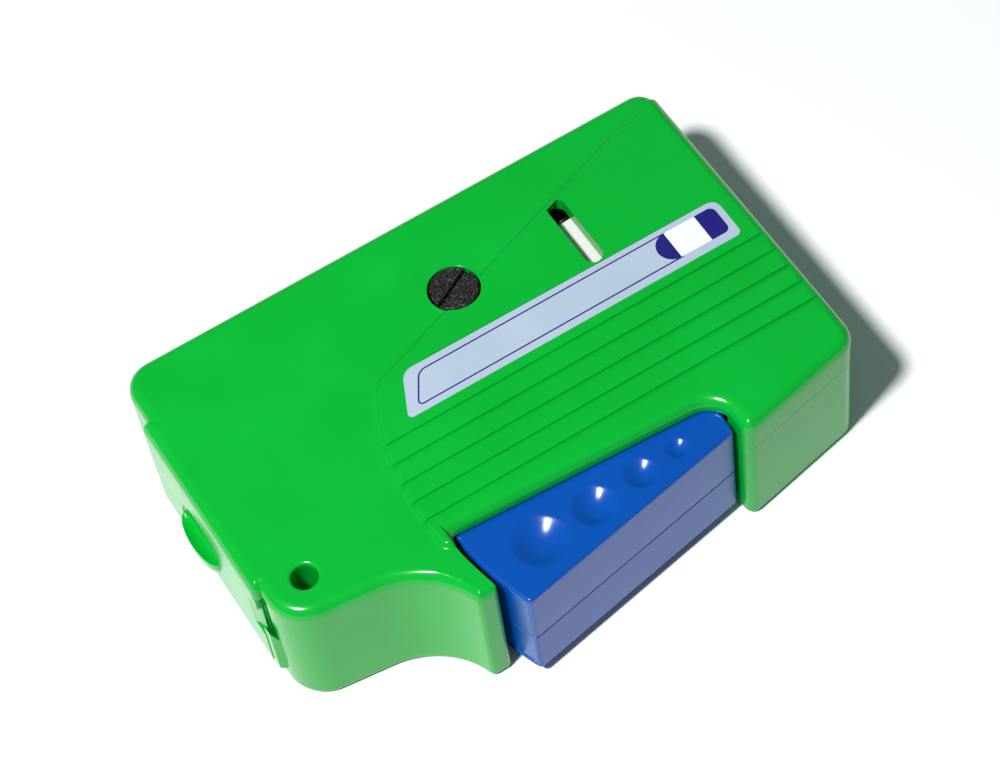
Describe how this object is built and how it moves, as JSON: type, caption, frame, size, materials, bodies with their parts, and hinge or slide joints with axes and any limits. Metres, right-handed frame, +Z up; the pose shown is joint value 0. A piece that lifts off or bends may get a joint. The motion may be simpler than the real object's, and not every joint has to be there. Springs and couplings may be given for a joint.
{
  "type": "fibre optic cleaning cassette",
  "caption": "Hand-held tape cassette for wiping fibre optic connector ends, with a squeeze lever, a sliding end shutter and a tape drive inside.",
  "frame": {"origin": "middle of the base of the overall box, on the surface that the cassette lies on", "axes": "+X along the case from the shuttered cleaning end to the plain end, +Y from the lever side to the straight back edge, +Z up out of the labelled top face"},
  "size_m": [0.128, 0.088, 0.033],
  "materials": {
    "green_abs": "gloss moulded",
    "blue_abs": "gloss moulded",
    "black_pom": "satin moulded",
    "grey_pom": "satin moulded",
    "white_pom": "satin moulded",
    "steel": "plain",
    "tape": "fine woven",
    "rubber": "matt",
    "label": "silver-blue film"
  },
  "bodies": {
    "case": {"upper_shell": "green_abs", "lower_shell": "green_abs", "case_screws": "steel", "label_plate": "label", "lever_pin": "steel", "lever_spring": "steel", "slot_plate": "grey_pom", "platen_pad": "rubber", "platen_holder": "grey_pom", "guide_pins": "steel", "tape_web": "tape", "brake_spring": "steel"},
    "lever": {"lever_upper": "blue_abs", "lever_lower": "blue_abs", "lever_screws": "steel"},
    "shutter": {"shutter": "green_abs", "shutter_slide": "grey_pom", "shutter_screw": "steel"},
    "feed": {"feed_slider": "grey_pom"},
    "feed_pawl": {"feed_pawl": "black_pom"},
    "check_pawl": {"check_pawl": "black_pom"},
    "drive": {"drive_shaft": "black_pom", "drive_pinion": "white_pom"},
    "takeup": {"takeup_reel": "black_pom", "takeup_tape": "tape"},
    "supply": {"supply_reel": "black_pom", "supply_tape": "tape"},
    "back_roller": {"guide_roller_back": "white_pom"},
    "head_roller": {"guide_roller_head": "white_pom"}
  },
  "joints": [
    {"name": "lever_hinge", "type": "hinge", "parent": "case", "child": "lever", "pos_m": [0.03005, -0.0232, 0.0165], "axis": [0, 0, -1], "range_deg": [0, 9], "stiffness_Nm_per_rad": 1.5, "springref_deg": -5.73, "deforming": ["lever_spring"]},
    {"name": "shutter_slide", "type": "slide", "parent": "case", "child": "shutter", "axis": [0, 1, 0], "range_m": [0, 0.0099]},
    {"name": "feed_slide", "type": "slide", "parent": "case", "child": "feed", "axis": [0, 1, 0], "range_m": [0, 0.0046]},
    {"name": "feed_pawl_hinge", "type": "hinge", "parent": "feed", "child": "feed_pawl", "pos_m": [-0.00365, 0.0141, 0.0042], "axis": [0, 0, 1], "range_deg": [0, 10], "stiffness_Nm_per_rad": 0.002},
    {"name": "check_pawl_hinge", "type": "hinge", "parent": "case", "child": "check_pawl", "pos_m": [0.01495, 0.0141, 0.0038], "axis": [0, 0, -1], "range_deg": [0, 10], "stiffness_Nm_per_rad": 0.002},
    {"name": "drive_spin", "type": "hinge", "parent": "case", "child": "drive", "pos_m": [0.00565, 0.0231, 0.016], "axis": [0, 0, 1], "continuous": true},
    {"name": "takeup_spin", "type": "hinge", "parent": "case", "child": "takeup", "pos_m": [-0.01968, 0.0153, 0.016], "axis": [0, 0, 1], "continuous": true},
    {"name": "supply_spin", "type": "hinge", "parent": "case", "child": "supply", "pos_m": [0.03505, 0.005, 0.016], "axis": [0, 0, 1], "continuous": true},
    {"name": "back_roller_spin", "type": "hinge", "parent": "case", "child": "back_roller", "pos_m": [-0.04895, 0.03, 0.016], "axis": [0, 0, 1], "continuous": true},
    {"name": "head_roller_spin", "type": "hinge", "parent": "case", "child": "head_roller", "pos_m": [-0.04855, -0.0086, 0.016], "axis": [0, 0, 1], "continuous": true}
  ],
  "couplings": [
    {"joint": "shutter_slide", "follows": "lever_hinge", "m_per_rad": 0.0628},
    {"joint": "feed_slide", "follows": "lever_hinge", "m_per_rad": 0.0286},
    {"joint": "takeup_spin", "follows": "drive_spin", "ratio": -0.29268},
    {"joint": "supply_spin", "follows": "drive_spin", "ratio": -0.21742},
    {"joint": "back_roller_spin", "follows": "drive_spin", "ratio": -1.0871},
    {"joint": "head_roller_spin", "follows": "drive_spin", "ratio": -1.5854}
  ]
}
